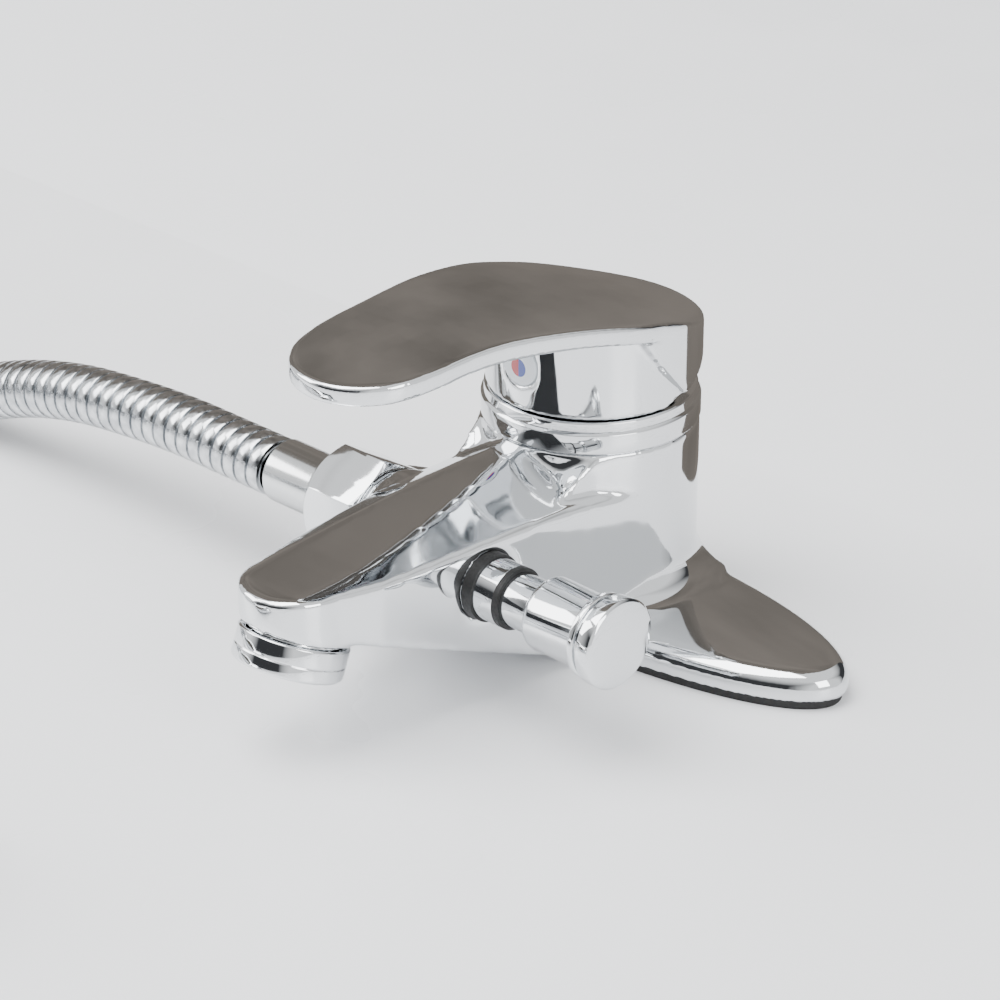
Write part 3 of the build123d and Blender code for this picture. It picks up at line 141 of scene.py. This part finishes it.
def face_seat(piece, center, heading, inner, outer, band):
    """Bring the spots of a seat's ring onto its plane, as a facing cut does; sizes in millimetres."""
    for vertex in piece.data.vertices:
        along, reach = off_axis(vertex.co, center, heading)
        if abs(along) < band * MM and inner * MM < reach < outer * MM:
            vertex.co -= Vector(heading) * along


def machined_copy(node, name, edge):
    """A turned or milled piece: true faces, with its sharp edges broken by a fine chamfer."""
    piece = merged_copy(node, name)
    bpy.ops.object.mode_set(mode="EDIT")
    bpy.ops.mesh.select_all(action="SELECT")
    bpy.ops.mesh.dissolve_limited(angle_limit=flat_turn)
    bpy.ops.mesh.quads_convert_to_tris(quad_method="BEAUTY", ngon_method="BEAUTY")
    bpy.ops.object.mode_set(mode="OBJECT")
    bevel = piece.modifiers.new("broken edge", "BEVEL")
    bevel.width = edge * MM
    bevel.segments = 2
    bevel.limit_method = "ANGLE"
    bevel.angle_limit = sharp_turn
    apply_modifiers(piece)
    bpy.ops.object.shade_smooth_by_angle(angle=sharp_turn)
    return piece


def finish_piece(piece, body, slot, material, *nodes):
    """Ride the body, wear the material, and stand for the CAD nodes; the slot is not used."""
    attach(piece, body)
    piece.data.materials.clear()
    piece.data.materials.append(material)
    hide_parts(*nodes)
    return piece


def machined_piece(node, name, body, material, edge, slot="chrome"):
    """A machined copy that stands for its CAD node; its broken edge is in millimetres."""
    return finish_piece(machined_copy(node, name, edge), body, slot, material, node)


# Patterns: the shader nodes that the finishes share


def linear(code):
    """An sRGB hex colour as linear RGBA."""
    parts = [int(code[i:i + 2], 16) / 255 for i in (1, 3, 5)]
    return [p / 12.92 if p <= 0.04045 else ((p + 0.055) / 1.055) ** 2.4 for p in parts] + [1.0]


def add(tree, kind, settings=None, **links):
    """Add one shader node; settings fill its sockets or properties, links feed its sockets.

    A link named i and a number feeds the socket of that number, and any other the socket of its name.
    """
    node = tree.nodes.new(kind)
    for key, value in (settings or {}).items():
        if isinstance(key, int) or key in node.inputs:
            node.inputs[key].default_value = value
        else:
            setattr(node, key, value)
    for key, source in links.items():
        numbered = key[0] == "i" and key[1:].isdigit()
        tree.links.new(source, node.inputs[int(key[1:]) if numbered else key])
    return node


def finish(name, color, metallic, roughness, more=None):
    """A material with its shader ready, and the Object coordinates that its patterns read."""
    material = bpy.data.materials.new(name)
    material.use_nodes = True
    tree = material.node_tree
    shader = tree.nodes["Principled BSDF"]
    shader.inputs["Base Color"].default_value = linear(color)
    shader.inputs["Metallic"].default_value = metallic
    shader.inputs["Roughness"].default_value = roughness
    for key, value in (more or {}).items():
        shader.inputs[key].default_value = value
    place = add(tree, "ShaderNodeTexCoord").outputs["Object"]
    return material, tree, shader, place


def noise(tree, place, size, detail=3.0):
    """Noise whose main lumps are about this many millimetres across."""
    settings = {"Scale": 1.0 / (size * MM), "Detail": detail, "Roughness": 0.5}
    return add(tree, "ShaderNodeTexNoise", settings, Vector=place).outputs[0]


def tool_rings(tree, place, axis, spacing):
    """Rings that a turning tool leaves about an axis, this many millimetres apart."""
    stretch = tuple(part / (spacing * MM) for part in axis)
    along = add(tree, "ShaderNodeMapping", {3: stretch}, Vector=place).outputs[0]
    return add(tree, "ShaderNodeTexNoise", {"Scale": 1.0, "Detail": 2.0}, Vector=along).outputs[0]


def spread(tree, source, low=0.0, high=1.0, start=0.35, end=0.65):
    """Turn a pattern's values from start to end into a range from low to high."""
    return add(tree, "ShaderNodeMapRange", {1: start, 2: end, 3: low, 4: high}, i0=source).outputs[0]


def mixed(tree, share, first, second):
    """A mix of two hex colours, by a pattern that gives the second one's share."""
    settings = {"data_type": "RGBA", 6: linear(first), 7: linear(second)}
    return add(tree, "ShaderNodeMix", settings, i0=share).outputs[2]


def tinted(tree, shader, share, first, second):
    """Vary the base colour between two hex colours by a pattern."""
    tree.links.new(mixed(tree, share, first, second), shader.inputs["Base Color"])


def roughened(tree, shader, source, low, high):
    """Vary the roughness from bright to dull by a pattern."""
    tree.links.new(spread(tree, source, low, high), shader.inputs["Roughness"])


def bumped(tree, shader, height, strength, distance):
    """Raise the surface by a pattern, this many millimetres at most."""
    bump = add(tree, "ShaderNodeBump", {"Strength": strength, "Distance": distance * MM}, Height=height)
    tree.links.new(bump.outputs[0], shader.inputs["Normal"])


# Finishes: one for each real material, its pattern sizes in millimetres


def bright_chrome():
    """Bright chromium plate over buffed brass: a cold mirror with the faint waviness of hand buffing."""
    material, tree, shader, place = finish("bright chrome plate", "#DDDFE1", 1.0, 0.05)
    roughened(tree, shader, noise(tree, place, size=9.0, detail=5.0), 0.035, 0.075)
    bumped(tree, shader, noise(tree, place, size=14.0, detail=2.0), strength=0.05, distance=0.25)
    return material


def steel_strip():
    """Interlocked steel strip, chromed: bright crowns with fine draw marks, duller than the brass."""
    material, tree, shader, place = finish("chromed steel strip", "#CDD0D2", 1.0, 0.16)
    roughened(tree, shader, noise(tree, place, size=1.2, detail=4.0), 0.10, 0.26)
    tinted(tree, shader, spread(tree, noise(tree, place, size=2.5)), "#B9BCBF", "#DCDEE0")
    bumped(tree, shader, noise(tree, place, size=0.8), strength=0.12, distance=0.06)
    return material


def satin_chrome():
    """Turned ferrule of plated brass: satin from the tool, drawn as rings coarse enough to show."""
    material, tree, shader, place = finish("satin turned chrome", "#D3D5D6", 1.0, 0.14)
    rings = tool_rings(tree, place, axis=(1, 0, 0), spacing=0.35)
    roughened(tree, shader, rings, 0.08, 0.22)
    bumped(tree, shader, rings, strength=0.08, distance=0.05)
    return material


def nitrile_rubber():
    """Nitrile rubber, moulded: a dead black with a slight sheen and fine mould grain."""
    material, tree, shader, place = finish("black nitrile rubber", "#141414", 0.0, 0.55)
    grain = noise(tree, place, size=0.5, detail=4.0)
    roughened(tree, shader, grain, 0.45, 0.65)
    bumped(tree, shader, grain, strength=0.2, distance=0.05)
    return material


def turned_brass():
    """Machined CZ brass: warm yellow, with turning rings round the pipe."""
    material, tree, shader, place = finish("machined brass", "#B8974F", 1.0, 0.28)
    rings = tool_rings(tree, place, axis=(0, 0, 1), spacing=0.5)
    roughened(tree, shader, rings, 0.2, 0.38)
    tinted(tree, shader, spread(tree, noise(tree, place, size=5.0)), "#AA8A45", "#C4A45C")
    bumped(tree, shader, rings, strength=0.15, distance=0.08)
    return material


def zinc_plate():
    """Zinc-plated pressed steel: grey with a faint spangle and a soft shine."""
    material, tree, shader, place = finish("zinc-plated steel", "#A6A9AB", 1.0, 0.34)
    spangle = add(tree, "ShaderNodeTexVoronoi", {"Scale": 1 / (2.2 * MM)}, Vector=place)
    tinted(tree, shader, spangle.outputs["Color"], "#979A9C", "#B4B7B8")
    roughened(tree, shader, noise(tree, place, size=1.5), 0.26, 0.42)
    return material


def lapped_alumina():
    """Alumina, ground and lapped: cream white and almost mirror flat."""
    material, tree, shader, place = finish("lapped alumina", "#E4DFD2", 0.0, 0.18, {"IOR": 1.76})
    tinted(tree, shader, spread(tree, noise(tree, place, size=0.7)), "#DCD6C8", "#EAE6DB")
    return material


def moulded_acetal():
    """Acetal, injection moulded: grey and slightly waxy."""
    material, tree, shader, place = finish("grey moulded acetal", "#73777A", 0.0, 0.38, {"IOR": 1.48})
    roughened(tree, shader, noise(tree, place, size=0.8), 0.32, 0.46)
    bumped(tree, shader, noise(tree, place, size=0.4), strength=0.15, distance=0.03)
    return material


def nozzle_silicone():
    """Silicone of the spray nozzles: soft mid grey, matt."""
    material, tree, shader, place = finish("grey silicone", "#4B4F52", 0.0, 0.6, {"IOR": 1.41})
    bumped(tree, shader, noise(tree, place, size=0.6), strength=0.2, distance=0.04)
    return material


def marker_acrylic():
    """Pale clear acrylic over a small print, red on the hot side and blue on the cold side."""
    lacquer = {"Coat Weight": 0.6}
    material, tree, shader, place = finish("red and blue acrylic", "#E9ECEF", 0.0, 0.12, lacquer)
    print_center = (0.0, -23.0 * MM, 64.0 * MM)
    print_radius = 2.1 * MM
    offset = add(tree, "ShaderNodeVectorMath", {"operation": "SUBTRACT", 1: print_center}, i0=place)
    across = add(tree, "ShaderNodeSeparateXYZ", None, Vector=offset.outputs[0]).outputs
    cold_side = add(tree, "ShaderNodeMath", {"operation": "GREATER_THAN", 1: 0.0}, i0=across["X"])
    flat = add(tree, "ShaderNodeCombineXYZ", None, X=across["X"], Z=across["Z"])
    far = add(tree, "ShaderNodeVectorMath", {"operation": "LENGTH"}, i0=flat.outputs[0])
    past_edge = {"operation": "GREATER_THAN", 1: print_radius}
    outside = add(tree, "ShaderNodeMath", past_edge, i0=far.outputs["Value"])
    ink = mixed(tree, cold_side.outputs[0], "#B3202C", "#1F3F9A")
    pale = {"data_type": "RGBA", 7: linear("#DEE3E8")}
    shown = add(tree, "ShaderNodeMix", pale, i0=outside.outputs[0], i6=ink)
    tree.links.new(shown.outputs[2], shader.inputs["Base Color"])
    return material


def glazed_fireclay():
    """White glazed fireclay: a soft gloss with a slow unevenness."""
    material, tree, shader, place = finish("white glazed fireclay", "#F4F5F7", 0.0, 0.3, {"IOR": 1.5})
    roughened(tree, shader, noise(tree, place, size=60.0), 0.24, 0.4)
    return material


def wall_glow():
    """A brown wall, softly clouded, that gives its own light, so that the chrome mirrors it evenly."""
    material = bpy.data.materials.new("brown wall")
    material.use_nodes = True
    tree = material.node_tree
    tree.nodes.clear()
    place = add(tree, "ShaderNodeTexCoord").outputs["Object"]
    cloud = spread(tree, noise(tree, place, size=90.0, detail=5.0), start=0.3, end=0.7)
    tone = mixed(tree, cloud, "#756F69", "#989088")
    glow = add(tree, "ShaderNodeEmission", {"Strength": 0.98}, Color=tone)
    add(tree, "ShaderNodeOutputMaterial", None, Surface=glow.outputs[0])
    return material


chrome = bright_chrome()


# Shower hose: one route from the ferrule, down to the deck and into a coil of two and a half turns

hose_diameter = 14.0 * MM
hose_radius = hose_diameter / 2
ferrule_end = Vector((-53.8, -42.0, 28.0)) * MM

# The run's control points, each as its place across and its height in millimetres
run_points = (
    (-67.8, 28.0),
    (-93.4, 28.0),
    (-133.8, 23.4),
    (-174.4, 7.0),
    (-215.0, 7.0),
    (-260.0, 7.0),
)
coil_x = -274.0 * MM
coil_y = -119.0 * MM
coil_radius = 77.0 * MM
coil_turns = 2.5
turn_points = 12
turn_pitch = 15.0 * MM
layer_rise = 14.5 * MM
tail_length = 54.0 * MM
tail_first = 12.0 * MM
tail_last = 14.0 * MM


def coil_point(turned):
    """A control point of the coil after so many turns: in along the deck, up a layer, out again."""
    quarters = 4 * turned
    radius = coil_radius - turn_pitch * min(quarters, 4 * coil_turns - quarters) / 4
    climb = min(max((quarters - 4) / 2, 0.0), 1.0)
    height = hose_radius + layer_rise * climb * climb * (3 - 2 * climb)
    angle = 2 * pi * turned + pi / 2
    out = radius / cos(pi / turn_points)
    return Vector((coil_x + out * cos(angle), coil_y + out * sin(angle), height))


def hose_route():
    """The control points of the hose: its run, its coil and the tail that ends in the hand shower."""
    run = [ferrule_end] + [Vector((x * MM, ferrule_end.y, z * MM)) for x, z in run_points]
    coil = [coil_point((i + 0.5) / turn_points) for i in range(round(coil_turns * turn_points))]
    tail_start = Vector((coil_x, coil_y - coil_radius, hose_radius + layer_rise))
    tail = [tail_start + Vector((x, 0, 0)) for x in (tail_first, tail_length - tail_last, tail_length)]
    return run + coil + tail


def smooth_line(route):
    """The points of a smooth curve that has a route's points as its control points."""
    curve = bpy.data.curves.new("hose_route", "CURVE")
    curve.dimensions = "3D"
    curve.resolution_u = 16
    spline = curve.splines.new("NURBS")
    spline.points.add(len(route) - 1)
    for point, spot in zip(spline.points, route):
        point.co = (*spot, 1.0)
    spline.order_u = 3
    spline.use_endpoint_u = True
    holder = new_object("hose_route", curve)
    line = [v.co.copy() for v in bpy.data.meshes.new_from_object(holder).vertices]
    bpy.data.objects.remove(holder)
    return line


def even_points(line, count):
    """Points at even distances along a line, with the line's length."""
    lengths = [0.0]
    for first, second in zip(line, line[1:]):
        lengths.append(lengths[-1] + (second - first).length)
    spots = []
    j = 0
    for i in range(count + 1):
        along = lengths[-1] * i / count
        while j < len(line) - 2 and lengths[j + 1] < along:
            j += 1
        share = (along - lengths[j]) / max(lengths[j + 1] - lengths[j], 1e-12)
        spots.append(line[j].lerp(line[j + 1], min(share, 1.0)))
    return spots, lengths[-1]


# The strip is laid on a fine line, whose heading is read over some of its points each way
fine_count = 5200
heading_reach = 12
hose_line = smooth_line(hose_route())
fine_line, hose_length = even_points(hose_line, fine_count)

# The strip is wound as a helix, with a broad flat crown and a narrow dark groove in each winding. The
# profile's points give the share of the pitch and the share of the groove's depth.
winding_profile = (
    (0.0, 1.0),
    (0.06, 1.0),
    (0.10, 0.16),
    (0.17, 0.03),
    (0.5, 0.0),
    (0.83, 0.03),
    (0.90, 0.16),
    (0.94, 1.0),
)
groove_depth = 0.95 * MM
winding_pitch = 3.9 * MM
round_count = 28
windings = round(hose_length / winding_pitch) - 1
crown_turn = radians(40)


def hose_frame(along):
    """Centre and heading of the hose's line at a distance along it."""
    at = min(max(along / hose_length, 0.0), 1.0) * (len(fine_line) - 1)
    i = min(int(at), len(fine_line) - 2)
    before = fine_line[max(i - heading_reach, 0)]
    after = fine_line[min(i + 1 + heading_reach, len(fine_line) - 1)]
    return fine_line[i].lerp(fine_line[i + 1], at - i), (after - before).normalized()


def wound_strip():
    """The hose's mesh: rows of points that climb one winding as they go round, joined by quads."""
    rows = [(w + share, depth) for w in range(windings) for share, depth in winding_profile]
    rows.append((windings, 1.0))
    points = []
    for at, depth in rows:
        radius = hose_radius - groove_depth * depth
        for k in range(round_count):
            turned = k / round_count
            center, heading = hose_frame((at + turned) / (windings + 1) * hose_length)
            side = heading.cross(Vector((0, 0, 1))).normalized()
            lift = side.cross(heading)
            angle = 2 * pi * turned
            points.append(center + (side * cos(angle) + lift * sin(angle)) * radius)
    faces = []
    next_winding = len(winding_profile) * round_count
    for i in range(len(rows) - 1):
        row = i * round_count
        for a in range(row, row + round_count - 1):
            faces.append((a, a + 1, a + round_count + 1, a + round_count))
        # the seam of the helix joins a winding's last point to the next winding's first
        if i + len(winding_profile) + 1 < len(rows):
            last = row + round_count - 1
            first = row + next_winding
            faces.append((last, first, first + round_count, last + round_count))
    mesh = bpy.data.meshes.new("shower_hose")
    mesh.from_pydata([tuple(p) for p in points], [], faces)
    return mesh


shower_hose = new_object("shower_hose", wound_strip())
pick(shower_hose)
bpy.ops.object.mode_set(mode="EDIT")
bpy.ops.mesh.select_all(action="SELECT")
bpy.ops.mesh.normals_make_consistent(inside=False)
bpy.ops.object.mode_set(mode="OBJECT")
bpy.ops.object.shade_smooth_by_angle(angle=crown_turn)
finish_piece(shower_hose, "mixer", "chrome", steel_strip(), "hose_run", "hose_coil", "hose_tail")

satin = satin_chrome()
machined_piece("hose_ferrule", "shower_ferrule", "mixer", satin, edge=0.2)
far_ferrule = machined_piece("far_ferrule", "handset_ferrule", "mixer", satin, edge=0.2)
cone_nut = machined_piece("cone_nut", "handset_cone_nut", "mixer", chrome, edge=0.3)


# Mixer body and lever: castings, buffed all over

# Bores that the buffing doesn't reach: where each starts, where it heads, and its radius, in millimetres
up = (0.0, 0.0, 1.0)
down = (0.0, 0.0, -1.0)
rightward = (1.0, 0.0, 0.0)
leftward = (-1.0, 0.0, 0.0)
out_of_spout = (0.0, -0.373, -0.928)
cartridge_bore = ((0.0, 0.0, 13.0), up, 19.4)
diverter_bore = ((-12.0, -50.8, 28.5), rightward, 7.2)
outlet_bore = ((-7.0, -42.0, 28.0), leftward, 8.6)
aerator_bore = ((0.0, -86.3, 34.9), out_of_spout, 10.6)
cold_shank_bore = ((51.0, 0.0, 8.0), down, 9.8)
hot_shank_bore = ((-51.0, 0.0, 8.0), down, 9.8)
body_bores = (
    cartridge_bore,
    diverter_bore,
    outlet_bore,
    aerator_bore,
    cold_shank_bore,
    hot_shank_bore,
)
poppet_seat = (-7.0, -50.8, 28.5)

mixer_body = cast_copy("body_casting", "mixer_body", voxel=0.75, rounds=10, bores=body_bores)
face_seat(mixer_body, poppet_seat, rightward, inner=4.1, outer=5.45, band=0.8)
finish_piece(mixer_body, "mixer", "chrome", chrome, "body_casting")

lever_handle = cast_copy("handle", "lever_handle", voxel=0.5, rounds=10)
finish_piece(lever_handle, "lever", "chrome", chrome, "handle")


# Turned trim of the column, the spout's outlet, the diverter, the hose's nut and the hand shower

# Each as its CAD node, its name, its body and its broken edge in millimetres
turned_trim = (
    ("bonnet_ring", "dress_ring", "mixer", 0.2),
    ("aerator_housing", "aerator_skirt", "mixer", 0.15),
    ("diverter_bushing", "diverter_bush", "mixer", 0.15),
    ("diverter_stem", "diverter_rod", "diverter", 0.15),
    ("diverter_knob", "pull_knob", "diverter", 0.15),
    ("diverter_knob_cap", "pull_knob_cap", "diverter", 0.15),
    ("hose_nut", "shower_nut", "mixer", 0.25),
    ("handset_shell", "handset", "mixer", 0.3),
)
for node, name, body, edge in turned_trim:
    machined_piece(node, name, body, chrome, edge)
machined_piece("indicator_plug", "marker_plug", "lever", marker_acrylic(), edge=0.1, slot="marker")


# CAD nodes whose shape is right keep it and get their finish


def finish_nodes(material, *nodes):
    """Give CAD nodes that stay as they are this material."""
    for node in nodes:
        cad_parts[node].material_slots[0].material = material


# The base gasket is a real black rubber seal, but its black rim showing under the casting's edge at the
# wing tips is also painted shade: it stands in for the shadow gap under the base.
deck_seals_and_shadow_gap = ("base_gasket", "hot_rubber_washer", "cold_rubber_washer")
inner_seals = ("port_seals", "aerator_washer", "mouth_seal_ring", "stem_wiper_ring", "poppet_seal")
hose_seals = ("hose_washer", "far_washer")
clamps = ("hot_clamp_plate", "cold_clamp_plate", "hot_locknut", "cold_locknut")
pins_and_screws = ("pivot_pin", "spindle", "grub_screw", "spray_plate_screw")
cartridge_mouldings = ("cartridge_base", "cartridge_housing", "disc_carrier", "carriage")
water_mouldings = ("aerator_insert", "non_return_valve", "spray_plate")
finish_nodes(nitrile_rubber(), *deck_seals_and_shadow_gap, *inner_seals, *hose_seals)
finish_nodes(zinc_plate(), *clamps, *pins_and_screws)
finish_nodes(moulded_acetal(), *cartridge_mouldings, *water_mouldings)
finish_nodes(turned_brass(), "cartridge_nut", "poppet_screw", "hot_inlet_shank", "cold_inlet_shank")
finish_nodes(lapped_alumina(), "fixed_ceramic_disc", "moving_ceramic_disc")
finish_nodes(nozzle_silicone(), "nozzle_mat")
finish_nodes(chrome, "outlet_nipple")


# Stage: a white glazed deck, and behind it a brown wall that only the chrome sees

deck_size = 8.0
bpy.ops.mesh.primitive_plane_add(size=deck_size, location=(0, 0, 0))
deck = bpy.context.active_object
deck.name = "deck"
deck.data.materials.append(glazed_fireclay())

wall_size = 2.4
wall_end = 0.055
wall_back = 0.075
wall_center = (wall_end - wall_size / 2, wall_back, wall_size / 2)
bpy.ops.mesh.primitive_plane_add(size=wall_size, location=wall_center, rotation=(pi / 2, 0, 0))
wall = bpy.context.active_object
wall.name = "wall"
wall.data.materials.append(wall_glow())
wall.visible_camera = False
wall.visible_diffuse = False
wall.visible_shadow = False


# Light: a room that is bright overhead and to the sides and dim ahead of the spout, and three softboxes

world = bpy.data.worlds.new("room")
bpy.context.scene.world = world
world.use_nodes = True
room = world.node_tree
room.nodes.clear()
direction = add(room, "ShaderNodeTexCoord").outputs["Generated"]
parts = add(room, "ShaderNodeSeparateXYZ", None, Vector=direction).outputs
overhead = spread(room, parts["Z"], start=0.35, end=0.75)
sideways = add(room, "ShaderNodeMath", {"operation": "ABSOLUTE"}, i0=parts["X"]).outputs[0]
flank = spread(room, sideways, start=0.45, end=0.75)
bright = add(room, "ShaderNodeMath", {"operation": "MAXIMUM"}, i0=overhead, i1=flank).outputs[0]
tone = mixed(room, bright, "#3A3B3D", "#F8F9FA")
sky = add(room, "ShaderNodeBackground", {"Strength": 1.35}, Color=tone)
add(room, "ShaderNodeOutputWorld", None, Surface=sky.outputs[0])


def softbox(name, place, size, power):
    """A large soft light that points at the mixer."""
    light = bpy.data.lights.new(name, "AREA")
    light.shape = "RECTANGLE"
    light.size, light.size_y = size
    light.energy = power
    lamp = new_object(name, light)
    lamp.location = place
    lamp.rotation_mode = "QUATERNION"
    lamp.rotation_quaternion = (-Vector(place)).to_track_quat("-Z", "Y")
    lamp.visible_camera = False


softbox("overhead", place=(-0.3, -0.5, 1.5), size=(1.2, 1.2), power=34)
softbox("left", place=(-1.3, -0.9, 0.9), size=(0.9, 0.9), power=17)
softbox("right", place=(1.4, -0.3, 0.8), size=(0.7, 0.9), power=13)
